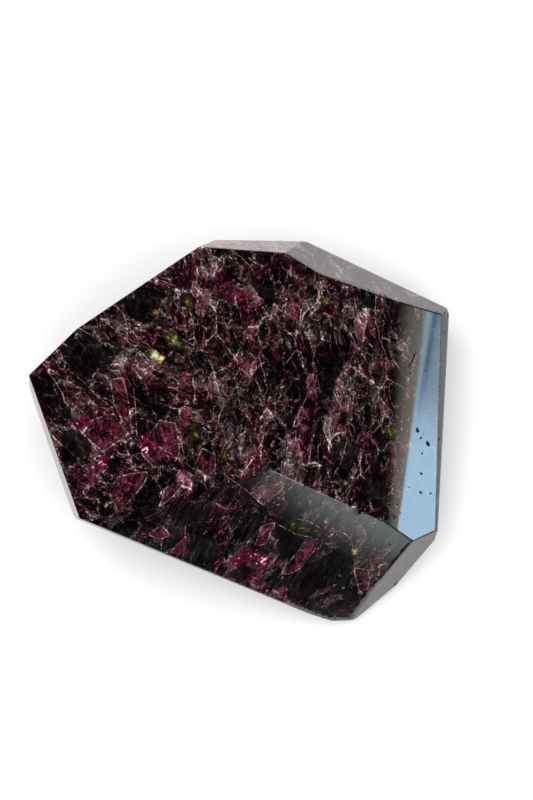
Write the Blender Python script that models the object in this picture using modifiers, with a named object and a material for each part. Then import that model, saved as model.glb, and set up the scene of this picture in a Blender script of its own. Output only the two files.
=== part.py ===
"""Rhodolite garnet, a hand-ground and polished freeform lying flat on its base. Metres, +Z up.

The stone is ground from a block, one flat facet after another. The long edge between the table's
right half and the right facet is rolled over, wide at the back and narrow at the front.
The rest of the arrises are just broken. A few open pits, a nick and some chips are left in the polish.
"""
import math
import random

import bmesh
import bpy
from mathutils import Euler, Matrix, Quaternion, Vector
from mathutils.geometry import intersect_plane_plane

MM = 0.001
HEIGHT = 30.0 * MM
BLOCK = 110.0 * MM
ARRIS = 0.25 * MM
ARRIS_ANGLE = 13.0
MIDDLE = Vector((0.0, 0.0, HEIGHT / 2.0))

# Each facet: name, bearing of its outward normal from +X in degrees, its slope from level in
# degrees (over 90 it leans under), and its distance from the stone's middle in millimetres.
FACETS = (
    ("table", 0.0, 0.0, 15.0),
    ("table_right", -13.5, 26.5, 17.05),
    ("right", -11.0, 32.0, 19.5),
    ("right_strip", -5.5, 54.5, 32.05),
    ("low", -74.5, 36.5, 17.6),
    ("low_tip", -75.0, 42.0, 20.75),
    ("back", 86.0, 70.5, 39.0),
    ("back_right", 58.0, 64.0, 38.1),
    ("front_right", -51.5, 62.0, 34.9),
    ("left", 199.5, 82.0, 37.7),
    ("front_left", 248.0, 84.5, 29.6),
    ("back_left_a", 134.0, 92.0, 36.65),
    ("back_left_b", 124.0, 93.5, 34.05),
    ("front_a", -107.0, 84.0, 31.9),
    ("front_b", -95.5, 84.0, 37.2),
    ("front_c", -82.5, 84.0, 41.8),
    ("under_right", -2.0, 100.0, 42.25),
    ("under_back", 93.0, 106.0, 34.75),
    ("under_back_right", 70.0, 105.0, 38.15),
    ("under_back_left", 128.0, 110.0, 33.5),
    ("under_front_right_a", -33.0, 102.0, 47.45),
    ("under_front_right_b", -49.0, 104.0, 48.5),
    ("under_front", -92.0, 104.0, 41.7),
    ("under_tip", 163.5, 104.0, 42.15),
    ("under_front_left", 246.0, 98.0, 30.7),
    ("under_left", 196.5, 110.0, 37.9),
    ("base", 0.0, 180.0, 15.0),
)

# The rolled edge: a cone touching both facets, with its point on their shared line in front.
ROLL_POINT_Y = -45.0 * MM
ROLL_SPREAD = 62.0
ROLL_STEPS = 8

# Open pits: facet, place of the centre in plan, length, width and depth in mm, turn in degrees.
PITS = (
    ("right", 36.6, -0.1, 1.2, 0.75, 0.30, 110.0),
    ("right", 38.9, -3.0, 1.3, 0.80, 0.32, 130.0),
    ("right", 37.4, -1.7, 0.55, 0.45, 0.20, 20.0),
    ("right", 37.7, -4.9, 0.50, 0.40, 0.18, 60.0),
    ("right", 37.5, -9.1, 0.75, 0.50, 0.22, 150.0),
    ("right", 37.4, -13.0, 0.80, 0.50, 0.22, 165.0),
    ("right", 39.6, -13.3, 0.50, 0.40, 0.18, 10.0),
    ("right", 35.4, 14.3, 3.9, 0.40, 0.25, 63.0),
    ("table_right", 31.8, -18.0, 1.6, 0.85, 0.35, 115.0),
    ("table_right", 32.6, -15.4, 0.70, 0.45, 0.25, 75.0),
    ("table_right", 24.1, -16.8, 1.6, 1.10, 0.45, 130.0),
)

# Chips in the lower rim of the front right facet: place in plan and length in mm.
CHIPS = (
    (35.4, -30.1, 0.8),
    (32.9, -32.8, 0.9),
    (30.4, -35.4, 0.7),
    (27.7, -37.6, 0.6),
)


def facet_plane(name):
    """A point on the named facet and its outward normal."""
    bearing, slope, reach = next(row[1:] for row in FACETS if row[0] == name)
    bearing = math.radians(bearing)
    slope = math.radians(slope)
    lean = math.sin(slope)
    normal = Vector((lean * math.cos(bearing), lean * math.sin(bearing), math.cos(slope)))
    return MIDDLE + normal * reach * MM, normal


def grind(stone, point, normal):
    """Take off all that stands proud of a plane and close the stone there with a flat facet."""
    everything = stone.verts[:] + stone.edges[:] + stone.faces[:]
    cut = bmesh.ops.bisect_plane(stone, geom=everything, dist=1e-8, plane_co=point, plane_no=normal,
                                 clear_outer=True)
    rim = [item for item in cut["geom_cut"] if isinstance(item, bmesh.types.BMEdge)]
    if len(rim) > 2:
        bmesh.ops.contextual_create(stone, geom=rim)


def height_on(name, x, y):
    """Height of the named facet's plane above a place in plan."""
    point, normal = facet_plane(name)
    return point.z - (normal.x * (x - point.x) + normal.y * (y - point.y)) / normal.z


def add_lump(tools, dice, matrix, roughness):
    """One small rounded lump with an uneven surface, which a pit or chip is cut with."""
    lump = bmesh.ops.create_icosphere(tools, subdivisions=2, radius=1.0)
    for vert in lump["verts"]:
        vert.co = matrix @ (vert.co * (1.0 + roughness * dice.uniform(-1.0, 1.0)))


for thing in list(bpy.data.objects):
    bpy.data.objects.remove(thing, do_unlink=True)

part_collection = bpy.data.collections.new("rhodolite_garnet")
cutter_collection = bpy.data.collections.new("cutters")
bpy.context.scene.collection.children.link(part_collection)
bpy.context.scene.collection.children.link(cutter_collection)

# The block, ground facet by facet
stone = bmesh.new()
bmesh.ops.create_cube(stone, size=BLOCK, matrix=Matrix.Translation(MIDDLE))
for facet in FACETS:
    grind(stone, *facet_plane(facet[0]))

# The rolled edge, as narrow facets that all pass through the cone's point
table_point, table_normal = facet_plane("table_right")
right_point, right_normal = facet_plane("right")
line_point, along = intersect_plane_plane(table_point, table_normal, right_point, right_normal)
if along.y < 0.0:
    along = -along
along.normalize()
roll_point = line_point + along * ((ROLL_POINT_Y - line_point.y) / along.y)
outward = (table_normal + right_normal).normalized()
spread = math.radians(ROLL_SPREAD)
axis = math.cos(spread) * along - math.sin(spread) * outward
first = (table_normal - axis * table_normal.dot(axis)).normalized()
last = (right_normal - axis * right_normal.dot(axis)).normalized()
swing = math.atan2(first.cross(last).dot(axis), first.dot(last))
for step in range(1, ROLL_STEPS):
    turned = table_normal.copy()
    turned.rotate(Quaternion(axis, swing * step / ROLL_STEPS))
    grind(stone, roll_point, turned)

bmesh.ops.remove_doubles(stone, verts=stone.verts[:], dist=2e-6)
bmesh.ops.dissolve_degenerate(stone, edges=stone.edges[:], dist=2e-6)
bmesh.ops.recalc_face_normals(stone, faces=stone.faces[:])

# The origin goes under the middle of the finished outline
places_x = [vert.co.x for vert in stone.verts]
places_y = [vert.co.y for vert in stone.verts]
shift = Vector((-(min(places_x) + max(places_x)) / 2.0, -(min(places_y) + max(places_y)) / 2.0, 0.0))
bmesh.ops.translate(stone, verts=stone.verts[:], vec=shift)
stone_mesh = bpy.data.meshes.new("garnet")
stone.to_mesh(stone_mesh)
stone.free()
garnet = bpy.data.objects.new("garnet", stone_mesh)
part_collection.objects.link(garnet)

# The arrises are broken by hand, no more than a hair
arris = garnet.modifiers.new("broken_arris", "BEVEL")
arris.width = ARRIS
arris.segments = 2
arris.limit_method = "ANGLE"
arris.angle_limit = math.radians(ARRIS_ANGLE)
arris.use_clamp_overlap = False

# The pits in the polish and the chips in the rim, cut with one set of lumps
tools = bmesh.new()
dice = random.Random(7)
for facet, x, y, length, width, depth, turn in PITS:
    normal = facet_plane(facet)[1]
    centre = Vector((x * MM, y * MM, height_on(facet, x * MM, y * MM)))
    tilt = Vector((0.0, 0.0, 1.0)).rotation_difference(normal).to_matrix().to_4x4()
    spin = Matrix.Rotation(math.radians(turn), 4, "Z")
    size = Matrix.Diagonal((length * MM / 2.0, width * MM / 2.0, depth * MM, 1.0))
    add_lump(tools, dice, Matrix.Translation(centre) @ tilt @ spin @ size, 0.12)
for x, y, length in CHIPS:
    centre = Vector((x * MM, y * MM, height_on("front_right", x * MM, y * MM)))
    turn = Euler((0.0, math.radians(20.0), math.radians(dice.uniform(30.0, 60.0)))).to_matrix().to_4x4()
    size = Matrix.Diagonal((length * MM / 2.0, length * MM / 3.0, length * MM / 2.5, 1.0))
    add_lump(tools, dice, Matrix.Translation(centre) @ turn @ size, 0.10)
bmesh.ops.translate(tools, verts=tools.verts[:], vec=shift)
lump_mesh = bpy.data.meshes.new("pit_lumps")
tools.to_mesh(lump_mesh)
tools.free()
pit_lumps = bpy.data.objects.new("pit_lumps", lump_mesh)
pit_lumps.hide_render = True
pit_lumps.display_type = "WIRE"
cutter_collection.objects.link(pit_lumps)
pitting = garnet.modifiers.new("pits_and_chips", "BOOLEAN")
pitting.operation = "DIFFERENCE"
pitting.solver = "EXACT"
pitting.object = pit_lumps

stone_mesh.shade_smooth()
stone_mesh.set_sharp_from_angle(angle=math.radians(5.0))

polish = bpy.data.materials.new("polished_garnet")
polish.use_nodes = True
shader = polish.node_tree.nodes["Principled BSDF"]
shader.inputs["Base Color"].default_value = (0.045, 0.017, 0.024, 1.0)
shader.inputs["Roughness"].default_value = 0.08
shader.inputs["Metallic"].default_value = 0.0
garnet.data.materials.append(polish)
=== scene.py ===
"""Rhodolite garnet: a dark, fractured crystal mass ground into flat polished facets, on a pale floor.

Metres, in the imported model's frame, with the stone standing on its base and the table facet up.
"""
import math

import bmesh
import bpy
import numpy as np
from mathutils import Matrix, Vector
from mathutils.geometry import delaunay_2d_cdt


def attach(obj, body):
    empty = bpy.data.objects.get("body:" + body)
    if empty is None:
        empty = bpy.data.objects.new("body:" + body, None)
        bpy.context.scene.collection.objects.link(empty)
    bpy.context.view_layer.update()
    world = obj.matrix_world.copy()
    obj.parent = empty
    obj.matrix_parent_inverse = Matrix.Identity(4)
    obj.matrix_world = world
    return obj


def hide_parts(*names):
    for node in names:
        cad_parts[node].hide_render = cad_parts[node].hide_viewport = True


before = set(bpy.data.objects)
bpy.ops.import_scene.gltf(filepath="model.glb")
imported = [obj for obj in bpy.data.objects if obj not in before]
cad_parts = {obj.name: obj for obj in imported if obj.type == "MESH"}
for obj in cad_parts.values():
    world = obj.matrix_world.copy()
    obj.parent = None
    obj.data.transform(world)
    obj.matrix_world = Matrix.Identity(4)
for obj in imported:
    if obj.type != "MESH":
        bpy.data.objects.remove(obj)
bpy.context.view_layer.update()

# The stone: one mass of garnet fragments healed together, sawn, ground facet by facet and polished.
# The ground form is the model's own. Here its flat facets get a fine, even mesh, so that
# the markings and the wear can follow the real surface.
MM = 0.001
TOP_SPACING = 0.60 * MM
SIDE_SPACING = 1.0 * MM
STEEP = math.cos(math.radians(58.0))
FLAT_WITHIN = math.radians(0.08)
SAME_PLACE = 1e-7
RIM_GAP = 0.6
FEW_TRIANGLES = 4.0
FAR_AWAY = 1e9

garnet_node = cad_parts["garnet"]
ground = bmesh.new()
ground.from_mesh(garnet_node.data)
bmesh.ops.remove_doubles(ground, verts=ground.verts[:], dist=SAME_PLACE)
bmesh.ops.dissolve_limit(ground, angle_limit=FLAT_WITHIN, verts=ground.verts[:], edges=ground.edges[:])


def facet_spacing(face):
    """How close the mesh points lie on a facet: closer on the ones that are looked at from above."""
    return TOP_SPACING if face.normal.z > STEEP else SIDE_SPACING


def divide_edges(stone):
    """Puts points along every edge, as close as the finer of its two facets asks."""
    for edge in stone.edges[:]:
        spacing = min(facet_spacing(face) for face in edge.link_faces)
        parts = max(1, round(edge.calc_length() / spacing))
        start = edge.verts[0]
        end = edge.verts[1]
        for left in range(parts, 1, -1):
            start = bmesh.utils.edge_split(edge, start, 1.0 / left)[1]
            edge = next(e for e in start.link_edges if end in e.verts)


def to_segment(spots, a, b):
    """Distance from each spot to a straight stretch, and how far left of its line the spot lies."""
    along = b - a
    squared = max(along @ along, 1e-18)
    offset = spots - a
    share = np.clip(offset @ along / squared, 0.0, 1.0)
    distance = np.linalg.norm(offset - share[:, None] * along, axis=1)
    return distance, (along[0] * offset[:, 1] - along[1] * offset[:, 0]) / math.sqrt(squared)


def outline_depth(spots, outline):
    """Distance from each spot to an outline, below zero inside it."""
    outline = np.array(outline)
    nearest = np.full(len(spots), FAR_AWAY)
    inside = np.zeros(len(spots), bool)
    for a, b in zip(outline, np.roll(outline, -1, axis=0)):
        nearest = np.minimum(nearest, to_segment(spots, a, b)[0])
        if a[1] != b[1]:
            crosses = (a[1] > spots[:, 1]) != (b[1] > spots[:, 1])
            inside ^= crosses & (spots[:, 0] < a[0] + (spots[:, 1] - a[1]) * (b[0] - a[0]) / (b[1] - a[1]))
    return np.where(inside, -nearest, nearest)


def inside_points(outline, spacing):
    """Points of an even triangular grid that lie well inside an outline in the facet's own plane."""
    low = outline.min(0)
    high = outline.max(0)
    rows = np.arange(low[1], high[1], spacing * math.sqrt(0.75))
    grid = [(x, y) for i, y in enumerate(rows)
            for x in np.arange(low[0] + (i % 2) * spacing / 2.0, high[0], spacing)]
    grid = np.array(grid).reshape(-1, 2)
    return grid[outline_depth(grid, outline) < -RIM_GAP * spacing]


def mesh_facet(stone, face):
    """Replaces one flat facet by small even triangles on the same outline."""
    spacing = facet_spacing(face)
    normal = face.normal.copy()
    side = normal.orthogonal().normalized()
    up = normal.cross(side)
    verts = list(face.verts)
    middle = verts[0].co.copy()
    outline = np.array([((v.co - middle).dot(side), (v.co - middle).dot(up)) for v in verts])
    points = np.zeros((0, 2))
    if face.calc_area() > FEW_TRIANGLES * spacing ** 2:
        points = inside_points(outline, spacing)
    flat = [Vector(p) for p in np.concatenate([outline, points])]
    spots, _, triangles, sources, _, _ = delaunay_2d_cdt(flat, [], [list(range(len(verts)))], 1, 1e-9)
    corners = []
    for spot, origin in zip(spots, sources):
        known = [s for s in origin if s < len(verts)]
        corners.append(verts[known[0]] if known else stone.verts.new(middle + side * spot.x + up * spot.y))
    stone.faces.remove(face)
    for triangle in triangles:
        if len({corners[i] for i in triangle}) == 3:
            stone.faces.new([corners[i] for i in triangle])


divide_edges(ground)
ground.normal_update()
for facet in [face for face in ground.faces if len(face.verts) > 3]:
    mesh_facet(ground, facet)
bmesh.ops.recalc_face_normals(ground, faces=ground.faces[:])
stone_mesh = bpy.data.meshes.new("polished_stone")
ground.to_mesh(stone_mesh)
ground.free()
stone = bpy.data.objects.new("polished_stone", stone_mesh)
bpy.context.scene.collection.objects.link(stone)

# Small open pits where grains broke out of the polish, and nicks along the arrises.
# One lump each is set down, turned and sized at random, and then cut out of the stone.
PITS_PER_SQUARE_CM = 1.6
SMALLEST_PIT = 0.10 * MM
LARGEST_PIT = 0.34 * MM
NICK_SPACING = 1.3 * MM
NICK_SHARE = 0.09
SMALLEST_NICK = 0.08 * MM
LARGEST_NICK = 0.26 * MM
ARRIS_TURN = math.radians(10.0)
SLIMMEST_LUMP = (0.6, 0.4, 0.5)
STOUTEST_LUMP = (1.3, 0.8, 0.7)
FULL_TURN = (6.28, 6.28, 6.28)
SCATTER_SEED = 11

lump_stuff = bpy.data.materials.new("broken_surface")
scatter = bpy.data.node_groups.new("pits_and_nicks", "GeometryNodeTree")
scatter.interface.new_socket("Stone", in_out="INPUT", socket_type="NodeSocketGeometry")
scatter.interface.new_socket("Lumps", in_out="OUTPUT", socket_type="NodeSocketGeometry")
asked = {}
for label, kind, number in (("Pits per square metre", "Float", PITS_PER_SQUARE_CM * 1e4),
                            ("Smallest pit", "Float", SMALLEST_PIT),
                            ("Largest pit", "Float", LARGEST_PIT),
                            ("Nick spacing", "Float", NICK_SPACING),
                            ("Nick share", "Float", NICK_SHARE),
                            ("Smallest nick", "Float", SMALLEST_NICK),
                            ("Largest nick", "Float", LARGEST_NICK),
                            ("Seed", "Int", SCATTER_SEED),
                            ("Surface", "Material", lump_stuff)):
    socket = scatter.interface.new_socket(label, in_out="INPUT", socket_type="NodeSocket" + kind)
    asked[socket.identifier] = number


def joined(tree, kind, inputs, **settings):
    """Adds a node to a tree and joins or sets its inputs; gives back the node."""
    made = tree.nodes.new(kind)
    for name, value in settings.items():
        setattr(made, name, value)
    for name, value in inputs.items():
        socket = made.inputs[name]
        if isinstance(value, bpy.types.NodeSocket):
            tree.links.new(value, socket)
        elif isinstance(value, tuple) and socket.type == "RGBA":
            socket.default_value = (*value, 1.0)
        else:
            socket.default_value = value
    return made


given = scatter.nodes.new("NodeGroupInput").outputs


def any_size(smallest, largest):
    """A random size between two of the tree's inputs."""
    inputs = {2: given[smallest], 3: given[largest], "Seed": given["Seed"]}
    return joined(scatter, "FunctionNodeRandomValue", inputs).outputs[1]


def any_vector(least, most):
    """A random turn or shape between two limits."""
    inputs = {0: least, 1: most, "Seed": given["Seed"]}
    return joined(scatter, "FunctionNodeRandomValue", inputs, data_type="FLOAT_VECTOR").outputs[0]


def is_more(value, limit):
    """Where a value is over a limit."""
    return joined(scatter, "FunctionNodeCompare", {0: value, 1: limit}, operation="GREATER_THAN").outputs[0]


facing = scatter.nodes.new("GeometryNodeInputNormal").outputs[0]
looks_up = is_more(joined(scatter, "ShaderNodeSeparateXYZ", {0: facing}).outputs["Z"], STEEP)
spots = joined(scatter, "GeometryNodeDistributePointsOnFaces",
               {"Mesh": given["Stone"], "Selection": looks_up, "Density": given["Pits per square metre"],
                "Seed": given["Seed"]}).outputs["Points"]
corner = joined(scatter, "GeometryNodeInputMeshEdgeAngle", {}).outputs["Unsigned Angle"]
arrises = joined(scatter, "GeometryNodeMeshToCurve",
                 {"Mesh": given["Stone"], "Selection": is_more(corner, ARRIS_TURN)}).outputs[0]
along_arris = joined(scatter, "GeometryNodeCurveToPoints",
                     {"Curve": arrises, "Length": given["Nick spacing"]}, mode="LENGTH").outputs[0]
some = joined(scatter, "FunctionNodeRandomValue",
              {"Probability": given["Nick share"], "Seed": given["Seed"]}, data_type="BOOLEAN").outputs[3]
lump = joined(scatter, "GeometryNodeMeshIcoSphere", {"Radius": 1.0, "Subdivisions": 2}).outputs[0]
turn = any_vector((0.0, 0.0, 0.0), FULL_TURN)
shape = any_vector(SLIMMEST_LUMP, STOUTEST_LUMP)
together = scatter.nodes.new("GeometryNodeJoinGeometry")
for points, size, chosen in ((spots, any_size("Smallest pit", "Largest pit"), True),
                             (along_arris, any_size("Smallest nick", "Largest nick"), some)):
    sized = joined(scatter, "ShaderNodeVectorMath", {0: shape, "Scale": size}, operation="SCALE").outputs[0]
    group = joined(scatter, "GeometryNodeInstanceOnPoints",
                   {"Points": points, "Selection": chosen, "Instance": lump, "Rotation": turn,
                    "Scale": sized})
    scatter.links.new(group.outputs[0], together.inputs[0])
real = joined(scatter, "GeometryNodeRealizeInstances", {0: together.outputs[0]}).outputs[0]
surfaced = joined(scatter, "GeometryNodeSetMaterial", {"Geometry": real, "Material": given["Surface"]})
joined(scatter, "NodeGroupOutput", {0: surfaced.outputs[0]})

lump_maker = stone.modifiers.new("pits_and_nicks", "NODES")
lump_maker.node_group = scatter
for identifier, number in asked.items():
    lump_maker[identifier] = number
lump_mesh = bpy.data.meshes.new_from_object(stone.evaluated_get(bpy.context.evaluated_depsgraph_get()))
stone.modifiers.clear()
lumps = bpy.data.objects.new("pit_lumps", lump_mesh)
bpy.context.scene.collection.objects.link(lumps)
breakage = stone.modifiers.new("breakage", "BOOLEAN")
breakage.operation = "DIFFERENCE"
breakage.solver = "EXACT"
breakage.use_self = True
breakage.object = lumps
broken = bmesh.new()
broken.from_object(stone, bpy.context.evaluated_depsgraph_get())
stone.modifiers.clear()
bpy.data.objects.remove(lumps, do_unlink=True)
bmesh.ops.remove_doubles(broken, verts=broken.verts[:], dist=SAME_PLACE)
bmesh.ops.dissolve_degenerate(broken, edges=broken.edges[:], dist=SAME_PLACE)
bmesh.ops.triangulate(broken, faces=broken.faces[:])
broken.to_mesh(stone_mesh)
broken.free()

# The lap leaves each facet flat to its very edge, and only the arrises turn. So the facets keep
# their own direction and the light rolls over the narrow broken edges between them.
SHARP_TURN = math.radians(36.0)
stone_mesh.shade_smooth()
stone_mesh.set_sharp_from_angle(angle=SHARP_TURN)
flat_facets = stone.modifiers.new("flat_facets", "WEIGHTED_NORMAL")
flat_facets.weight = 100
flat_facets.keep_sharp = True
stone.data = bpy.data.meshes.new_from_object(stone.evaluated_get(bpy.context.evaluated_depsgraph_get()))
stone.modifiers.clear()
mesh = stone.data

# The long edge by the right facet was rolled on the lap, so its direction turns from one facet's to
# the other's between these two lines, which meet at the front. It turns fastest at the start.
# Lines are in mm in plan, slopes are bearing and slope in degrees.
ROLL_START = ((31.6, 25.5), (30.4, -13.4))
ROLL_END = ((43.0, 25.6), (33.7, -17.8))
NARROWEST_ROLL = 0.01
ROLL_FIRST_SLOPE = (-13.5, 26.5)
ROLL_LAST_SLOPE = (-11.0, 32.0)
ROLL_REACH = 3.6


def slope_direction(bearing, slope):
    """Outward direction of a surface with this bearing and slope, in degrees."""
    bearing, slope = math.radians(bearing), math.radians(slope)
    level = math.sin(slope)
    return np.array((level * math.cos(bearing), level * math.sin(bearing), math.cos(slope)))


def past_line(spots, line):
    """How far each place in plan lies to the right of a line, in mm."""
    (x0, y0), (x1, y1) = line
    across = np.array((y0 - y1, x1 - x0)) / math.hypot(x1 - x0, y1 - y0)
    return (spots - (x0, y0)) @ across


def across_roll(spots):
    """How far each place in plan is across the rolled edge: 0 at its start and 1 at its end."""
    past_start = past_line(spots, ROLL_START)
    return past_start / np.maximum(past_start - past_line(spots, ROLL_END), NARROWEST_ROLL)


def read_values(items, name, width, kind=np.float32):
    """One number or one vector for each item of the stone's mesh."""
    values = np.zeros(len(items) * width, kind)
    items.foreach_get(name, values)
    return values.reshape(-1, width)


corner_normals = read_values(mesh.corner_normals, "vector", 3)
corner_verts = read_values(mesh.loops, "vertex_index", 1, np.int32)[:, 0]
places = read_values(mesh.vertices, "co", 3) / MM
face_normals = read_values(mesh.polygons, "normal", 3)
first_normal = slope_direction(*ROLL_FIRST_SLOPE)
last_normal = slope_direction(*ROLL_LAST_SLOPE)
middle_normal = (first_normal + last_normal) / np.linalg.norm(first_normal + last_normal)
rolled_faces = face_normals @ middle_normal > math.cos(math.radians(ROLL_REACH))
rolled_corners = np.repeat(rolled_faces, 3)
turned = np.clip(across_roll(places[corner_verts, :2]), 0.0, 1.0)[:, None]
turned = 1.0 - (1.0 - turned) ** 2
turned_normals = first_normal + (last_normal - first_normal) * turned
turned_normals /= np.linalg.norm(turned_normals, axis=1)[:, None]
corner_normals = np.where(rolled_corners[:, None], turned_normals, corner_normals)
mesh.normals_split_custom_set([tuple(n) for n in corner_normals])

# The markings: clear dark glass where no light comes back, flat fragments with pale healed rims,
# crushed pink patches with painted glints where they catch the light, and small green and ochre grains.
# Each is an outline in plan, in mm at the height of the table, and follows the fractures' dip down.
TABLE_HEIGHT = 30.0
DIP = (0.45, -0.30)
DARK_GLASS = (
    ((-23.1, 27.4), (-16.9, 30.2), (-14.9, 28.2), (-15.5, 25.4), (-18.7, 22.6), (-22.5, 24.2)),
    ((-32.1, 20.8), (-28.1, 18.4), (-25.9, 17.0), (-22.5, 17.8), (-24.3, 16.0), (-25.3, 14.2),
     (-29.9, 12.4), (-30.5, 10.4), (-34.3, 13.0), (-35.7, 17.0), (-34.1, 19.0)),
    ((-41.7, 11.6), (-37.1, 12.0), (-35.5, 7.2), (-39.5, 6.0)),
    ((-20.3, 9.4), (-18.7, 8.8), (-16.1, 5.8), (-16.9, 3.4), (-18.7, 3.8), (-20.1, 5.2)),
    ((-20.1, 3.0), (-18.1, 2.4), (-17.5, 0.2), (-18.7, -2.0), (-20.5, -0.0)),
    ((-18.9, -9.4), (-15.9, -10.2), (-15.1, -12.6), (-16.1, -16.4), (-19.5, -17.6), (-20.7, -14.2),
     (-20.3, -11.6)),
    ((-13.3, -7.2), (-11.3, -7.8), (-14.7, -10.0)),
    ((-29.1, -11.2), (-27.1, -10.6), (-25.9, -13.6), (-26.5, -15.4), (-28.1, -13.6)),
    ((-26.5, -6.4), (-24.5, -5.2), (-23.7, -7.8), (-25.9, -9.2)),
    ((-10.3, -14.8), (-6.3, -12.6), (-5.5, -15.8), (-6.9, -18.2), (-11.7, -19.8)),
    ((-7.6, -24.1), (-3.4, -20.8), (-0.1, -25.4), (-1.0, -30.4), (-5.0, -28.6)),
    ((4.8, -18.1), (8.1, -19.1), (7.3, -22.8), (6.3, -25.8), (3.3, -22.5)),
    ((12.3, -21.1), (16.2, -23.4), (19.4, -24.4), (18.3, -27.1), (17.4, -29.4), (14.7, -30.0),
     (12.3, -27.0), (11.7, -23.9)),
    ((4.6, -31.8), (6.3, -30.7), (9.1, -32.4), (9.3, -35.5), (8.8, -36.0), (3.2, -33.3)),
    ((13.4, -32.7), (15.1, -33.1), (13.7, -37.2), (12.2, -35.8)),
    ((17.2, -36.1), (21.3, -33.0), (23.7, -29.8), (25.7, -26.6), (29.1, -28.9), (31.8, -33.8),
     (28.7, -36.9), (25.1, -38.5), (23.9, -42.4), (19.7, -40.2)),
    ((25.4, 27.7), (30.2, 26.2), (30.9, 23.2), (26.8, 23.6)),
    ((32.7, 25.7), (37.4, 23.6), (36.6, 19.5), (33.0, 20.5)),
    ((19.5, 30.4), (23.0, 29.0), (22.4, 27.0), (20.5, 26.6)),
    ((-1.9, 35.4), (0.1, 34.8), (0.5, 33.4), (-0.7, 32.6), (-1.9, 33.2)),
    ((2.5, 31.6), (5.5, 31.0), (7.7, 29.2), (7.7, 26.4), (5.1, 27.0), (2.7, 29.8)),
    ((4.3, 15.8), (5.5, 16.4), (7.1, 14.0), (5.7, 9.0), (5.1, 11.4)),
    ((18.1, 15.1), (22.1, 18.3), (26.0, 16.3), (22.4, 13.1), (22.1, 10.9), (18.4, 9.9)),
    ((18.6, 10.2), (21.4, 10.1), (20.3, 6.5), (17.1, 6.1)),
    ((20.1, -3.6), (24.8, -2.8), (23.5, -6.6), (21.6, -8.4), (19.5, -5.9)),
    ((25.3, -2.6), (28.7, -4.7), (28.1, -7.2), (25.2, -10.2), (23.2, -10.5)),
    ((30.6, -11.3), (35.6, -10.3), (36.5, -17.2), (33.2, -18.4), (28.5, -15.9)),
    ((-36.3, -0.0), (-34.3, 1.2), (-31.3, -0.0), (-29.7, -2.8), (-30.7, -4.6), (-34.7, -6.2)),
)
PALE_RIMMED = (
    ((-25.9, 11.2), (-23.1, 11.8), (-21.9, 5.8), (-21.3, 0.6), (-22.1, 0.2), (-25.1, 6.2)),
    ((-29.7, 3.2), (-25.1, 4.6), (-22.1, 0.2), (-27.3, -3.4), (-31.5, 0.4)),
    ((-24.3, -8.0), (-18.7, -7.0), (-18.1, -7.8), (-19.3, -10.2), (-24.3, -15.6), (-26.1, -11.2)),
    ((-19.7, -1.8), (-15.9, 3.2), (-12.7, 2.6), (-11.7, -3.2), (-13.3, -6.0), (-17.3, -6.4), (-19.5, -3.8)),
    ((-7.5, -2.4), (-4.7, -3.6), (-4.7, -6.8), (-6.3, -8.2), (-9.3, -6.4)),
    ((-15.1, -10.6), (-10.3, -8.0), (-11.3, -10.0), (-15.5, -14.8), (-16.1, -15.2)),
    ((-31.5, -11.4), (-29.9, -9.2), (-29.3, -6.4), (-28.9, -8.8), (-30.7, -12.0)),
    ((-16.9, -21.4), (-14.1, -19.0), (-11.3, -22.0), (-13.7, -22.8)),
    ((19.0, -24.6), (21.8, -25.1), (21.6, -28.4), (19.8, -32.4), (18.0, -33.8), (15.5, -33.6)),
    ((7.9, -20.8), (10.9, -19.8), (10.4, -25.6), (7.7, -26.1)),
    ((31.6, -33.0), (35.5, -34.0), (37.1, -38.9), (35.0, -40.0)),
    ((37.4, -32.9), (39.4, -32.2), (39.8, -34.9), (38.0, -35.8)),
)
CRUSHED_PINK = (
    ((2.6, -28.4), (5.6, -26.5), (10.2, -28.1), (11.7, -30.5), (7.9, -30.3), (4.3, -30.8)),
    ((8.7, -33.9), (11.0, -32.8), (13.6, -37.7), (11.1, -37.5)),
    ((19.3, -24.9), (21.6, -25.3), (21.1, -27.3), (19.3, -26.7)),
    ((-19.9, -0.4), (-17.5, 0.4), (-16.3, -2.4), (-18.9, -4.0)),
    ((-33.5, 3.2), (-29.9, 4.4), (-28.7, 2.4), (-31.9, 1.2)),
    ((-28.7, -4.8), (-26.3, -4.0), (-27.1, -6.8), (-31.1, -11.2), (-31.9, -10.4)),
)
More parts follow.
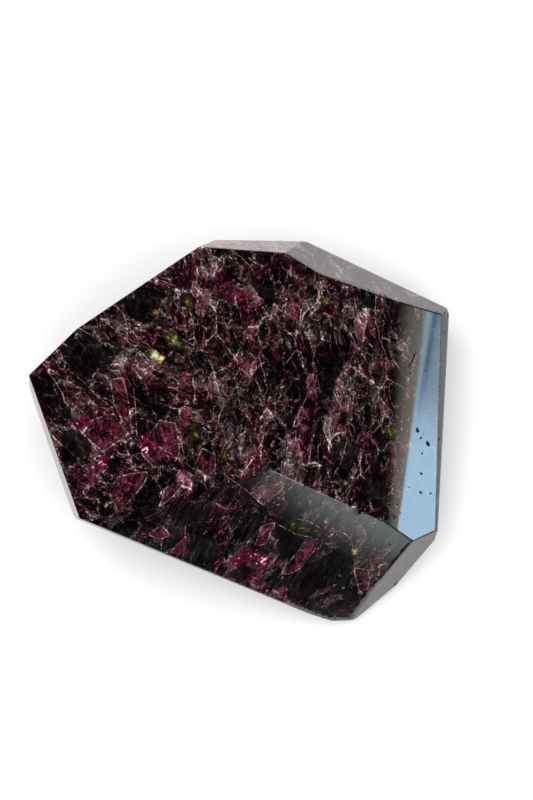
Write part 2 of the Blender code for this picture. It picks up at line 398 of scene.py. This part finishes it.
GREEN_GRAINS = (
    (0.54, ((-15.5, 20.2), (-13.5, 21.2), (-11.9, 20.0), (-10.3, 18.0), (-9.5, 16.4), (-11.1, 16.8),
     (-12.7, 18.0), (-14.7, 18.8))),
    (0.95, ((-18.1, 17.2), (-16.9, 17.4), (-14.9, 15.6), (-15.9, 14.2), (-17.5, 15.2))),
    (0.35, ((-12.3, 28.0), (-9.9, 28.6), (-8.5, 27.2), (-9.3, 25.4), (-11.5, 25.8))),
    (0.38, ((-10.7, 2.0), (-9.1, 2.4), (-7.9, 0.4), (-6.9, -1.0), (-8.7, -1.4), (-10.5, -0.4))),
    (0.45, ((-4.3, -3.4), (-2.1, -2.6), (-2.3, -4.4), (-3.9, -5.2))),
    (0.22, ((-6.3, 19.6), (-4.1, 18.8), (-4.5, 16.8), (-6.1, 17.2))),
    (0.25, ((-13.5, 14.8), (-11.1, 14.6), (-10.3, 13.0), (-12.3, 12.8))),
    (0.60, ((16.2, 27.6), (18.4, 27.4), (19.0, 25.7), (16.8, 25.3))),
    (0.50, ((16.4, 32.9), (19.9, 32.0), (19.5, 30.8), (16.7, 31.7))),
    (0.50, ((15.0, 18.5), (16.5, 18.1), (16.3, 16.9), (15.1, 17.3))),
    (0.50, ((27.4, 17.3), (28.7, 17.0), (28.8, 15.5), (27.5, 15.9))),
    (0.55, ((20.7, 22.6), (21.7, 22.3), (22.0, 20.8), (21.0, 20.9))),
    (0.55, ((34.3, -1.7), (37.1, -1.2), (38.0, -3.6), (35.2, -4.3))),
    (0.22, ((12.1, -20.4), (15.2, -19.5), (19.7, -21.6), (22.8, -23.1), (19.1, -24.1), (16.2, -23.2))),
    (0.80, ((29.9, -27.9), (31.3, -28.3), (31.6, -30.1), (30.2, -29.8))),
    (0.40, ((33.8, -32.1), (35.5, -32.5), (35.7, -34.0), (34.3, -33.9))),
    (0.80, ((-17.3, 25.4), (-16.3, 25.0), (-16.3, 23.8), (-17.3, 24.2))),
)
LONG_CRACKS = (
    ((-25.5, 26.6), (-22.9, 24.2), (-18.7, 21.4), (-17.7, 19.8)),
    ((-22.9, 24.2), (-22.5, 22.0), (-22.3, 19.8)),
    ((-26.7, 22.8), (-23.9, 20.2), (-19.3, 16.4), (-17.5, 14.4)),
    ((-35.7, 16.6), (-34.7, 13.6), (-31.9, 11.4), (-29.3, 8.8), (-25.9, 6.0)),
    ((-31.9, 21.4), (-29.5, 20.0), (-27.1, 18.4)),
    ((-17.5, -1.4), (-11.9, -4.8), (-6.3, -8.4)),
    ((-37.3, 11.6), (-35.5, 8.8), (-34.7, 6.2)),
    ((-21.1, 9.4), (-20.7, 5.2), (-20.5, 0.4)),
    ((-14.9, 30.2), (-12.7, 29.0), (-12.1, 27.8)),
    ((-15.9, 20.6), (-12.7, 20.0), (-9.5, 18.2), (-6.7, 16.8)),
    ((-2.3, 17.4), (-0.7, 15.6), (0.3, 12.4)),
    ((3.9, 15.8), (4.9, 12.8), (5.5, 9.2)),
    ((12.3, 24.8), (12.1, 21.2), (12.7, 18.8)),
    ((-12.9, 3.2), (-11.5, -0.8), (-11.1, -3.8)),
    ((-3.3, -7.5), (2.8, -12.0), (6.9, -15.5)),
    ((15.2, -19.5), (18.0, -20.2), (20.6, -21.7), (23.8, -23.7)),
    ((23.7, -22.4), (27.0, -23.9), (28.7, -25.3), (30.3, -28.0)),
    ((12.3, -21.1), (16.2, -23.4), (19.4, -24.4)),
    ((35.7, -34.0), (38.3, -36.9)),
    ((37.9, -30.8), (39.4, -27.5)),
    ((25.2, 26.1), (26.2, 22.3), (27.6, 19.6)),
    ((26.1, 23.9), (29.2, 22.1), (30.7, 21.8)),
    ((30.4, 26.0), (30.4, 21.8), (32.0, 17.1), (34.0, 13.1)),
    ((17.6, -2.5), (17.9, -8.4)),
    ((24.8, -3.0), (23.8, -7.0), (22.0, -9.9)),
    ((29.4, -3.6), (28.4, -8.0), (26.1, -12.6)),
)
drop = TABLE_HEIGHT - places[:, 2]
plan = places[:, :2] + drop[:, None] * np.array(DIP)
TONE_STEP = 0.382


def keep_values(name, values, domain="POINT"):
    """Stores one number for each point or face of the stone's mesh, for its material to read."""
    kept = mesh.attributes.new(name, "FLOAT", domain)
    kept.data.foreach_set("value", np.asarray(values, np.float32))


for name, outlines in (("dark_glass", DARK_GLASS), ("pale_rimmed", PALE_RIMMED),
                       ("crushed_pink", CRUSHED_PINK), ("green_grains", [row[1] for row in GREEN_GRAINS])):
    depths = np.array([outline_depth(plan, outline) for outline in outlines])
    nearest = depths.argmin(0)
    keep_values(name, depths.min(0))
    if name == "pale_rimmed":
        keep_values("fragment_tone", (nearest * TONE_STEP) % 1.0)
    if name == "green_grains":
        keep_values("grain_shade", np.array([row[0] for row in GREEN_GRAINS])[nearest])

crack_far = np.full(len(plan), FAR_AWAY)
crack_side = np.full(len(plan), FAR_AWAY)
for line in LONG_CRACKS:
    line = np.array(line)
    for a, b in zip(line[:-1], line[1:]):
        distance, off_line = to_segment(plan, a, b)
        crack_side = np.where(distance < crack_far, off_line, crack_side)
        crack_far = np.minimum(crack_far, distance)
keep_values("crack_far", crack_far)
keep_values("crack_side", crack_side)
keep_values("past_roll", across_roll(places[:, :2]))

# Only the walls of open pits lie deep below the planes of the large polished facets.
LARGE_FACET = 20.0 * MM * MM
areas = read_values(mesh.polygons, "area", 1)[:, 0]
first_corners = places[corner_verts[::3]]
facet_of = np.unique(np.round(face_normals, 3), axis=0, return_inverse=True)[1].ravel()
below_polish = np.full(len(places), FAR_AWAY)
for number in np.flatnonzero(np.bincount(facet_of, areas) > LARGE_FACET):
    on_facet = facet_of == number
    direction = face_normals[on_facet].mean(0)
    direction /= np.linalg.norm(direction)
    height = np.median(first_corners[on_facet] @ direction)
    below_polish = np.minimum(below_polish, height - places @ direction)
keep_values("below_polish", below_polish)

# Some side facets were left less polished. Each has a bearing and a slope, in degrees, and a share
# of frosting. The ones that lean under or look back are only half as dull as the other steep ones, and get
# less painted shade.
FROSTED = (
    (199.5, 82.0, 0.10),
    (248.0, 84.5, 0.10),
    (86.0, 70.5, 0.17),
    (-107.0, 84.0, 0.035),
    (-82.5, 84.0, 0.035),
    (-51.5, 62.0, 0.045),
    (58.0, 64.0, 0.025),
)
LOW_FACET = (-74.5, 36.5)
ONE_FACET = 3.0
LOW_FACETS = 8.0
BACKWARD = 0.3
HALF_DULL_AND_SHADED = 0.4


def faces_near(bearing, slope, within):
    """Which faces point within some degrees of a direction."""
    return face_normals @ slope_direction(bearing, slope) > math.cos(math.radians(within))


frosted = np.zeros(len(face_normals))
for bearing, slope, share in FROSTED:
    frosted = np.where(faces_near(bearing, slope, ONE_FACET), share, frosted)
keep_values("frosted", frosted, "FACE")
half_dull_and_shaded = (face_normals[:, 2] < 0.0) | (face_normals[:, 1] > BACKWARD)
keep_values("steep_facet", np.where(half_dull_and_shaded, HALF_DULL_AND_SHADED, 1.0) * (face_normals[:, 2] < STEEP), "FACE")
keep_values("low_facet", faces_near(*LOW_FACET, LOW_FACETS), "FACE")

# The finish: fragments of dark plum-coloured glass between whitish healed cracks, all polished
# to one even gloss, with the side facets left a little duller.
garnet = bpy.data.materials.new("fractured_garnet")
garnet.use_nodes = True
rock = garnet.node_tree
shader = rock.nodes["Principled BSDF"]


def seen(red, green, blue):
    """A colour as it looks on a screen, 0 to 255, as the light it stands for."""
    return tuple((c / 255.0 / 12.92) if c < 10.3 else ((c / 255.0 + 0.055) / 1.055) ** 2.4
                 for c in (red, green, blue))


def maths(tree, operation, *values):
    """A sum of numbers."""
    return joined(tree, "ShaderNodeMath", dict(enumerate(values)), operation=operation).outputs[0]


def from_to(tree, value, low, high, first=0.0, last=1.0):
    """A smooth change from first to last while value goes from low to high."""
    inputs = {0: value, 1: low, 2: high, 3: first, 4: last}
    return joined(tree, "ShaderNodeMapRange", inputs, interpolation_type="SMOOTHSTEP").outputs[0]


def blend(tree, share, first, second):
    """Goes from one colour to another with share."""
    return joined(tree, "ShaderNodeMix", {0: share, 6: first, 7: second}, data_type="RGBA").outputs[2]


def vectors(operation, *values):
    """A sum of vectors."""
    made = joined(rock, "ShaderNodeVectorMath", dict(enumerate(values)), operation=operation)
    return made.outputs["Value" if operation == "DOT_PRODUCT" else "Vector"]


def total(first, *others):
    """The sum of several numbers."""
    for other in others:
        first = maths(rock, "ADD", first, other)
    return first


def times(first, *others):
    """The product of several numbers."""
    for other in others:
        first = maths(rock, "MULTIPLY", first, other)
    return first


def around(value, width):
    """A number that varies about zero by up to half a width."""
    return times(maths(rock, "SUBTRACT", value, 0.5), width)


def noise(spot, size, detail=2.0, roughness=0.5, out="Fac"):
    """Cloudy variation with patches of about this size, in mm."""
    inputs = {"Vector": spot, "Scale": 1.0 / size, "Detail": detail, "Roughness": roughness}
    return joined(rock, "ShaderNodeTexNoise", inputs).outputs[out]


def cells(spot, size, feature="F1"):
    """Fragments of about this size, in mm."""
    inputs = {"Vector": spot, "Scale": 1.0 / size}
    return joined(rock, "ShaderNodeTexVoronoi", inputs, feature=feature).outputs


def randoms(fragment):
    """Three random numbers of each fragment, as red, green and blue."""
    return joined(rock, "ShaderNodeSeparateColor", {0: fragment["Color"]}).outputs


def mark(name):
    """A number kept on the mesh."""
    return joined(rock, "ShaderNodeAttribute", {}, attribute_name=name).outputs["Fac"]


def ramp(value, *stops):
    """Colours by value; each stop is a value and a colour."""
    made = joined(rock, "ShaderNodeValToRGB", {0: value})
    line = made.color_ramp.elements
    while len(line) < len(stops):
        line.new(0.5)
    for stop, (where, colour) in zip(line, stops):
        stop.position = where
        stop.color = (*colour, 1.0)
    return made.outputs[0]


def laid_out(spot, turn, scale):
    """Places turned by three angles and drawn out by three scales."""
    inputs = {"Vector": spot, "Rotation": turn, "Scale": scale}
    return joined(rock, "ShaderNodeMapping", inputs, vector_type="TEXTURE").outputs[0]


# Places in mm, bent by the strain in the rock: broadly, and again in small.
IN_MM = (1000.0, 1000.0, 1000.0)
BROAD_SIZE = 9.0
BROAD_BEND = (4.0, 4.0, 4.0)
FINE_SIZE = 1.3
FINE_BEND = (0.5, 0.5, 0.5)
MIDDLE_VALUE = (0.5, 0.5, 0.5)
place = vectors("MULTIPLY", joined(rock, "ShaderNodeTexCoord", {}).outputs["Object"], IN_MM)
broad_push = vectors("SUBTRACT", noise(place, BROAD_SIZE, out="Color"), MIDDLE_VALUE)
fine_push = vectors("SUBTRACT", noise(place, FINE_SIZE, 3.0, 0.6, "Color"), MIDDLE_VALUE)
bowed = vectors("ADD", place, vectors("MULTIPLY", broad_push, BROAD_BEND))
bent = vectors("ADD", bowed, vectors("MULTIPLY", fine_push, FINE_BEND))

# The fragments stand long in one direction, and in another one on the left and on the low facet.
# Each grain has its turn in degrees and how many times longer than wide the fragments are.
CENTRE_GRAIN = (6.0, 1.9)
LEFT_GRAIN = (52.0, 1.9)
LOW_GRAIN = (-28.0, 2.6)
LEFT_BORDER = -13.0
BORDER_WAVE = 40.0
BORDER_WAVE_SIZE = 11.0


def grain(turn, length):
    """The rock's places turned so that its fragments stand long in one direction."""
    return laid_out(bent, (0.25, 0.2, math.radians(turn)), (1.0, length, 1.4))


def choose(share, first, second):
    """One vector or the other."""
    inputs = {0: share, 4: first, 5: second}
    return joined(rock, "ShaderNodeMix", inputs, data_type="VECTOR").outputs[1]


across = joined(rock, "ShaderNodeSeparateXYZ", {0: place}).outputs["X"]
waved = total(across, around(noise(place, BORDER_WAVE_SIZE), BORDER_WAVE))
left_share = maths(rock, "LESS_THAN", waved, LEFT_BORDER)
low_share = mark("low_facet")
grained = choose(low_share, choose(left_share, grain(*CENTRE_GRAIN), grain(*LEFT_GRAIN)), grain(*LOW_GRAIN))


def fragments(size):
    """Fragments of one size: the cells, the distance to their borders and their random numbers."""
    made = cells(grained, size)
    return made, cells(grained, size, "DISTANCE_TO_EDGE")["Distance"], randoms(made)


def lit_side(fragment, size):
    """Painted shading: minus to plus across each fragment, in a direction of its own, as if that side were
    lit.
    """
    inside = vectors("SUBTRACT", grained, fragment["Position"])
    toward = vectors("SUBTRACT", fragment["Color"], MIDDLE_VALUE)
    return maths(rock, "DIVIDE", vectors("DOT_PRODUCT", inside, toward), size)


def streaks(turn, size):
    """Fine parallel lines, turned by an amount that each fragment sets."""
    inputs = {"Vector": bowed, "Angle": turn}
    turned_place = joined(rock, "ShaderNodeVectorRotate", inputs, rotation_type="Z_AXIS").outputs[0]
    return noise(laid_out(turned_place, (0.0, 0.0, 0.0), (3.2, 0.42, 1.0)), size, 4.0, 0.75)


# Fragments of three sizes, in mm, and grit. Each has a tone, a painted lit side and streaks of its own.
LARGE = 4.4
MIDDLING = 1.9
SMALL = 0.7
GRIT = 0.36
HALF_TURN = 3.1
large, large_edge, large_random = fragments(LARGE)
middling, middling_edge, middling_random = fragments(MIDDLING)
small_edge, small_random = fragments(SMALL)[1:]
grit_random = randoms(cells(bent, GRIT))
large_streaks = streaks(times(large_random["Blue"], HALF_TURN), 0.75)
middling_streaks = streaks(times(middling_random["Blue"], HALF_TURN), 0.6)

# Clear dark glass, with borders that follow the fragments. Little light comes back from it.
CLEAR_LIGHT = 0.30
glass_depth = total(mark("dark_glass"), around(middling_random["Blue"], 1.6),
                    around(noise(place, 1.2, 3.0), 0.8))
glass = from_to(rock, glass_depth, -0.30, 0.15, 1.0, 0.0)
clear = from_to(rock, glass, 0.0, 1.0, 1.0, CLEAR_LIGHT)

# How much light comes back, from black to white: mostly little, and uneven down to a hair's width.
BASE_LIGHT = 0.045
LEFT_SHADE = -0.042
ROLL_PAINTED_SHADE = -0.02
cloud = noise(bent, 4.2, 3.0, 0.6)
haze = from_to(rock, noise(place, 12.0), 0.36, 0.62, 0.35, 1.0)
lightness = total(BASE_LIGHT,
                  from_to(rock, across, -20.0, -6.0, LEFT_SHADE, 0.0),
                  # Painted shade: a little darker from just before the rolled edge on, over the roll and
                  # the right facet.
                  from_to(rock, mark("past_roll"), -2.5, 0.0, 0.0, ROLL_PAINTED_SHADE),
                  around(noise(place, 9.0), 0.44),
                  around(large_random["Red"], 0.24),
                  around(middling_random["Red"], 0.14),
                  around(small_random["Red"], 0.12),
                  around(grit_random["Red"], 0.12),
                  times(lit_side(large, LARGE), 0.26),
                  times(lit_side(middling, MIDDLING), 0.28),
                  around(cloud, 0.66),
                  around(large_streaks, 0.62),
                  around(middling_streaks, 0.50),
                  around(noise(bent, 0.30, 3.0, 0.8), 0.50))
lightness = maths(rock, "MAXIMUM", lightness, 0.0)


def hair_lines(edge, half_width, soft_width, patches, low, high, strength):
    """Pale lines along the fragments' borders, where the patches are over low."""
    lines = from_to(rock, edge, half_width, soft_width, 1.0, 0.0)
    return times(lines, from_to(rock, patches, low, high), strength)


# Pale healed cracks between the fragments, hair-fine and broken, and a faint pale rim inside them.
wide = hair_lines(large_edge, 0.004, 0.030, noise(place, 3.0, 3.0, 0.6), 0.46, 0.60, 0.40)
narrow = hair_lines(middling_edge, 0.008, 0.070, noise(place, 1.7, 3.0, 0.6), 0.46, 0.62, 0.30)
crackle = hair_lines(small_edge, 0.01, 0.14, noise(bent, 1.2, 3.0, 0.6), 0.46, 0.64, 0.34)
cracks = total(wide, narrow, times(crackle, haze))
cracks = times(cracks, from_to(rock, noise(place, 0.45), 0.30, 0.62, 0.15, 1.25))
rims = total(times(from_to(rock, large_edge, 0.0, 0.16, 1.0, 0.0), large_random["Green"], 0.10),
             times(from_to(rock, middling_edge, 0.0, 0.22, 1.0, 0.0), middling_random["Green"], 0.08))
lightness = total(lightness, cracks, times(rims, haze))

# Painted shade: the pattern is painted darker on the low facet, the steep facets and the right facet, where
# the surface leans away from the lamps. The clear glass's own darkness is taken in here too.
LOW_FACET_PAINTED_SHADE = 0.66
SIDE_PAINTED_SHADE = 0.58
RIGHT_FACET_PAINTED_SHADE = 0.50
glass_and_painted_shade = times(clear,
               from_to(rock, low_share, 0.0, 1.0, 1.0, LOW_FACET_PAINTED_SHADE),
               from_to(rock, mark("steep_facet"), 0.0, 1.0, 1.0, SIDE_PAINTED_SHADE),
               from_to(rock, mark("past_roll"), 0.1, 1.0, 1.0, RIGHT_FACET_PAINTED_SHADE))
lightness = times(lightness, glass_and_painted_shade)

# Light that comes back through clear glass is plum red, and grey-mauve where cracks scatter it.
LEAST_RED = 0.05
MOST_RED = 0.84
GLASS_RED = 0.20
redness = total(around(noise(place, 4.0, 3.0, 0.6), 2.2), around(large_random["Green"], 0.55),
                around(middling_random["Green"], 0.45), 0.50, times(cracks, -1.8), times(lightness, -0.5))
redness = times(from_to(rock, redness, 0.0, 1.0, LEAST_RED, MOST_RED),
                from_to(rock, glass, 0.0, 1.0, 1.0, GLASS_RED))

# The flat fragments with pale rims, hazy towards the rim and streaked along their length.
fragment_depth = total(mark("pale_rimmed"), around(noise(place, 1.5, 3.0), 0.5))
in_fragment = from_to(rock, fragment_depth, -0.12, 0.02, 0.90, 0.0)
fragment_streaks = streaks(total(0.9, times(mark("fragment_tone"), 1.4)), 0.8)
veil = from_to(rock, fragment_depth, -1.3, 0.0)
slab_edge = from_to(rock, maths(rock, "ABSOLUTE", total(fragment_depth, 0.50)), 0.10, 0.40, 0.60, 1.0)
fragment_light = total(0.105,
                       times(mark("fragment_tone"), 0.07),
                       around(fragment_streaks, 1.05),
                       times(veil, 0.10),
                       times(lit_side(large, LARGE), 0.24),
                       times(lit_side(middling, MIDDLING), 0.20),
                       around(middling_random["Red"], 0.12),
                       around(cloud, 0.4),
                       around(grit_random["Red"], 0.10),
                       around(noise(bent, 0.4, 3.0, 0.8), 0.4),
                       times(cracks, 0.5))
fragment_light = times(maths(rock, "MAXIMUM", fragment_light, 0.0), slab_edge)
rim_line = from_to(rock, maths(rock, "ABSOLUTE", total(fragment_depth, 0.08)), 0.02, 0.17, 1.0, 0.0)
rim_line = times(rim_line, from_to(rock, noise(place, 1.3, 4.0, 0.7), 0.46, 0.62, 0.04, 0.48))


def mixed(share, first, second):
    """Goes from one number to another with share."""
    return joined(rock, "ShaderNodeMix", {0: share, 2: first, 3: second}).outputs[0]


lightness = total(mixed(in_fragment, lightness, fragment_light), rim_line)
redness = mixed(in_fragment, redness, from_to(rock, veil, 0.0, 0.8, 0.85, 0.30))

# The long cracks that were placed one by one.
off_crack = maths(rock, "ABSOLUTE", total(mark("crack_side"), around(noise(place, 1.3, 3.0), 0.8)))
drawn = times(from_to(rock, off_crack, 0.01, 0.12, 1.0, 0.0),
              from_to(rock, mark("crack_far"), 0.5, 0.9, 1.0, 0.0),
              from_to(rock, noise(place, 0.9, 3.0, 0.6), 0.38, 0.62, 0.10, 0.50))
lightness = total(lightness, drawn)

# The crushed pink patches, whose brightest cells are painted glints, and painted glints of light off single
# fractures.
SPARK_SIZE = 0.55
pink_depth = total(mark("crushed_pink"), around(middling_random["Red"], 1.8),
                   around(noise(place, 1.0, 3.0), 1.4))
pink = from_to(rock, pink_depth, -0.35, 0.15, 1.0, 0.0)
sparks = cells(bent, SPARK_SIZE)
spark_random = randoms(sparks)
pink_light = total(0.02,
                   times(spark_random["Red"], 0.30),
                   # The brightest cells are painted glints.
                   from_to(rock, spark_random["Red"], 0.88, 0.98, 0.0, 0.55),
                   around(noise(bent, 0.5, 3.0, 0.8), 0.7))
# Painted glints: tiny spots of painted highlight off single fractures.
painted_glint = times(from_to(rock, sparks["Distance"], 0.10, 0.34, 1.0, 0.0),
              from_to(rock, spark_random["Green"], 0.965, 0.975), 0.55)
lightness = total(lightness, times(painted_glint, haze, clear))

SCREEN_SHARE = 0.90
lightness = times(lightness, SCREEN_SHARE)
red_glass = ramp(lightness, (0.0, seen(1, 0, 0)), (0.08, seen(31, 2, 10)), (0.20, seen(76, 14, 36)),
                 (0.34, seen(114, 42, 70)), (0.55, seen(162, 98, 124)), (1.0, seen(255, 220, 234)))
grey_glass = ramp(lightness, (0.0, seen(1, 0, 0)), (0.10, seen(26, 19, 19)), (0.30, seen(80, 68, 68)),
                  (0.60, seen(162, 145, 145)), (1.0, seen(255, 242, 240)))
colour = blend(rock, redness, grey_glass, red_glass)
magenta = ramp(pink_light, (0.0, seen(10, 1, 4)), (0.18, seen(62, 6, 28)), (0.40, seen(124, 24, 66)),
               (0.70, seen(206, 92, 140)), (1.0, seen(255, 218, 234)))
colour = blend(rock, times(pink, from_to(rock, cloud, 0.35, 0.55, 0.45, 0.95)), colour, magenta)

# The green and ochre grains, darker at the edge.
green_depth = total(mark("green_grains"), around(noise(place, 0.9, 3.0), 1.1))
green = from_to(rock, green_depth, -0.12, 0.12, 0.95, 0.0)
grain_shade = total(mark("grain_shade"), -0.14, around(noise(bent, 1.1, 4.0, 0.7), 2.2),
                    from_to(rock, green_depth, -0.9, 0.0, 0.06, -0.24))
olive = ramp(grain_shade, (0.0, seen(6, 6, 3)), (0.30, seen(34, 34, 16)), (0.50, seen(72, 72, 32)),
             (0.70, seen(114, 116, 66)), (1.0, seen(196, 202, 170)))
ochre = ramp(grain_shade, (0.0, seen(6, 5, 2)), (0.30, seen(46, 33, 8)), (0.50, seen(94, 74, 18)),
             (0.70, seen(136, 118, 52)), (1.0, seen(204, 204, 166)))
green_colour = blend(rock, from_to(rock, noise(place, 1.6), 0.46, 0.56), olive, ochre)
colour = blend(rock, green, colour, green_colour)

# Ground marks left on the least polished side facets scatter a little pale light.
frost = times(mark("frosted"), from_to(rock, noise(bent, 2.4, 5.0, 0.75), 0.38, 0.62, 0.4, 1.4))
colour = blend(rock, frost, colour, seen(240, 198, 202))

# The lap's fine lines still run down the low facet. They are real lines, painted a pale cold grey as a
# painted sheen of the cold light that they scatter.
LAP_LINE_TURN = 66.0
LAP_LINE_SHARE = 0.055
down_slope = laid_out(place, (0.0, 0.0, math.radians(LAP_LINE_TURN)), (9.0, 0.24, 9.0))
lap_lines_and_sheen = times(from_to(rock, noise(down_slope, 1.0, 3.0, 0.7), 0.46, 0.72), low_share,
                  from_to(rock, noise(place, 7.0), 0.36, 0.60), LAP_LINE_SHARE)
colour = blend(rock, lap_lines_and_sheen, colour, seen(140, 150, 146))

# Dirt and painted shade: the open pits, which never saw the lap, are painted dark.
PIT_DIRT_AND_SHADE = 0.85
deep_in_pits = from_to(rock, mark("below_polish"), 0.10, 0.16)
colour = blend(rock, times(deep_in_pits, PIT_DIRT_AND_SHADE), colour, seen(16, 12, 11))
rock.links.new(colour, shader.inputs["Base Color"])

# The polish: fine hair scratches, and a slightly duller lap finish on the steep facets.
HAIR_TURN = 0.9
FINEST_GLOSS = 0.028
DULLEST_GLOSS = 0.075
STEEP_DULLNESS = 0.16
PIT_DULLNESS = 0.45
SCRATCH_DEPTH = 0.02 * MM
GARNET_IOR = 1.75
scratches = noise(laid_out(place, (0.0, 0.0, HAIR_TURN), (0.12, 6.0, 1.0)), 1.0, 4.0, 0.7)
gloss = total(from_to(rock, scratches, 0.35, 0.75, FINEST_GLOSS, DULLEST_GLOSS),
              times(mark("steep_facet"), STEEP_DULLNESS), times(deep_in_pits, PIT_DULLNESS))
relief = joined(rock, "ShaderNodeBump", {"Strength": 0.05, "Distance": SCRATCH_DEPTH, "Height": scratches})
rock.links.new(gloss, shader.inputs["Roughness"])
rock.links.new(relief.outputs[0], shader.inputs["Normal"])
shader.inputs["IOR"].default_value = GARNET_IOR
stone.data.materials.clear()
stone.data.materials.append(garnet)
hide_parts("garnet")
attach(stone, "root")

# The floor: a sheet of white board, wide enough to reach past every view. It lies a hair below the
# stone's base, so that the two surfaces don't share one plane.
FLOOR_RADIUS = 4.0
FLOOR_DROP = 0.05 * MM
bpy.ops.mesh.primitive_circle_add(vertices=96, radius=FLOOR_RADIUS, fill_type="NGON",
                                  location=(0.0, 0.0, -FLOOR_DROP))
floor = bpy.context.object
floor.name = "floor"
white_board = bpy.data.materials.new("white_board")
white_board.use_nodes = True
board = white_board.node_tree.nodes["Principled BSDF"]
board.inputs["Base Color"].default_value = (0.82, 0.82, 0.815, 1.0)
board.inputs["Roughness"].default_value = 0.9
board.inputs["Specular IOR Level"].default_value = 0.1
floor.data.materials.append(white_board)

# The lights: a white cloth tent all round, which glows evenly, a large softbox overhead
# and a smaller one to the left and behind. Neither the camera nor the polish shows them.
TENT_RADIUS = 2.5
TENT_GLOW = 1.25
bpy.ops.mesh.primitive_ico_sphere_add(subdivisions=4, radius=TENT_RADIUS)
tent = bpy.context.object
tent.name = "light_tent"
cloth = bpy.data.materials.new("tent_cloth")
cloth.use_nodes = True
cloth.node_tree.nodes.clear()
tent_light = joined(cloth.node_tree, "ShaderNodeEmission", {"Strength": TENT_GLOW}).outputs[0]
joined(cloth.node_tree, "ShaderNodeOutputMaterial", {"Surface": tent_light})
tent.data.materials.append(cloth)
tent.visible_camera = False
tent.visible_glossy = False
tent.visible_transmission = False
tent.visible_shadow = False


def softbox(name, place, size, watts, tint):
    """A soft square light, aimed at the stone, that no reflection shows."""
    light = bpy.data.lights.new(name, "AREA")
    light.shape = "SQUARE"
    light.size = size
    light.energy = watts
    light.color = tint
    lamp = bpy.data.objects.new(name, light)
    lamp.location = place
    lamp.rotation_mode = "QUATERNION"
    lamp.rotation_quaternion = Vector(place).to_track_quat("Z", "Y")
    lamp.visible_glossy = False
    lamp.visible_camera = False
    bpy.context.scene.collection.objects.link(lamp)


softbox("left_softbox", place=(-0.55, 0.40, 0.75), size=0.9, watts=4.0, tint=(1.0, 0.99, 0.97))
softbox("top_softbox", place=(0.15, 0.15, 1.3), size=2.2, watts=3.0, tint=(1.0, 1.0, 1.0))

# The room: dark above the floor, with a few windows low down that only the polish shows.
# Bearings and elevations are in degrees, colours are the windows' light.
DARK_ROOM = (0.010, 0.009, 0.009)
PALE_FLOOR = (0.55, 0.55, 0.56)
OLIVE_WALL = (1.6, 1.55, 1.35)
BLUE_PANE = (4.2, 6.5, 8.4)
DIM_PANE = (2.1, 3.2, 4.0)
PALE_PANE = (2.7, 3.9, 4.5)
NAVY_BAR = (0.5, 0.9, 1.9)
GREY_GREEN_PANE = (1.44, 1.74, 1.66)
PALE_BLUE_PANE = (1.7, 2.3, 2.4)
STUDIO_WHITE = (0.93, 0.93, 0.93)
room = bpy.data.worlds.new("studio_room")
bpy.context.scene.world = room
room.use_nodes = True
sky = room.node_tree
sky.nodes.clear()
direction = joined(sky, "ShaderNodeTexCoord", {}).outputs["Generated"]
toward = joined(sky, "ShaderNodeSeparateXYZ", {0: direction}).outputs
azimuth = maths(sky, "DEGREES", maths(sky, "ARCTAN2", toward["Y"], toward["X"]))
elevation = maths(sky, "DEGREES", maths(sky, "ARCSINE", toward["Z"]))


def both(first, *others):
    """Where all of several shares are full."""
    for other in others:
        first = maths(sky, "MULTIPLY", first, other)
    return first


def below(value, full, end):
    """Full up to one value and nothing from the other on."""
    return from_to(sky, value, full, end, 1.0, 0.0)


def span(value, start, full, fades, end):
    """Full between two borders and nothing outside them."""
    return both(from_to(sky, value, start, full), below(value, fades, end))


def over_slant(middle, lean):
    """Elevation over a border that rises by lean for each degree past a middle bearing."""
    rise = maths(sky, "MULTIPLY", maths(sky, "SUBTRACT", azimuth, middle), lean)
    return maths(sky, "SUBTRACT", elevation, rise)


glow = blend(sky, from_to(sky, elevation, -0.5, 0.8), PALE_FLOOR, DARK_ROOM)

# The east window is blue, with an olive wall above it that darkens upwards. Its top border slants.
# Its far half is dimmer, with a pale top and a navy bar under it.
east = span(azimuth, -24.0, -18.0, -2.0, 4.0)
glow = blend(sky, both(east, below(elevation, 24.0, 34.0)), glow, OLIVE_WALL)
pane = both(east, below(over_slant(-14.0, 0.25), 22.85, 23.35), from_to(sky, elevation, 14.0, 15.0))
far_half = blend(sky, from_to(sky, elevation, 23.2, 23.7), DIM_PANE, PALE_PANE)
far_half = blend(sky, span(elevation, 22.52, 22.68, 23.1, 23.35), far_half, NAVY_BAR)
glow = blend(sky, pane, glow, blend(sky, from_to(sky, azimuth, -11.6, -9.6), BLUE_PANE, far_half))

# The south window is dim and grey-green, with a slanting lower border.
# Above it is a pale blue skylight, which only the broken arris of the low facet catches.
south = both(span(azimuth, -75.9, -73.4, -66.0, -62.0),
             from_to(sky, over_slant(-75.0, -1.0), 14.6, 15.45), below(elevation, 17.0, 20.0))
glow = blend(sky, south, glow, GREY_GREEN_PANE)
skylight = both(span(azimuth, -74.0, -71.0, -50.0, -46.0), span(elevation, 20.5, 22.5, 33.0, 36.0))
glow = blend(sky, skylight, glow, PALE_BLUE_PANE)

by_camera = joined(sky, "ShaderNodeLightPath", {}).outputs["Is Camera Ray"]
glow = blend(sky, by_camera, glow, STUDIO_WHITE)
background = joined(sky, "ShaderNodeBackground", {"Color": glow}).outputs[0]
joined(sky, "ShaderNodeOutputWorld", {"Surface": background})
bpy.context.scene.view_settings.view_transform = "Standard"

# The camera: straight above the stone at half a metre, a little right of and behind its middle.
CAMERA_PLACE = (5.439 * MM, 7.161 * MM, 500.0 * MM)
SENSOR_WIDTH = 36.0
LENS_LENGTH = 105.75
camera_data = bpy.data.cameras.new("camera")
camera_data.sensor_width = SENSOR_WIDTH
camera_data.lens = LENS_LENGTH
camera = bpy.data.objects.new("camera", camera_data)
camera.location = CAMERA_PLACE
bpy.context.scene.collection.objects.link(camera)
bpy.context.scene.camera = camera
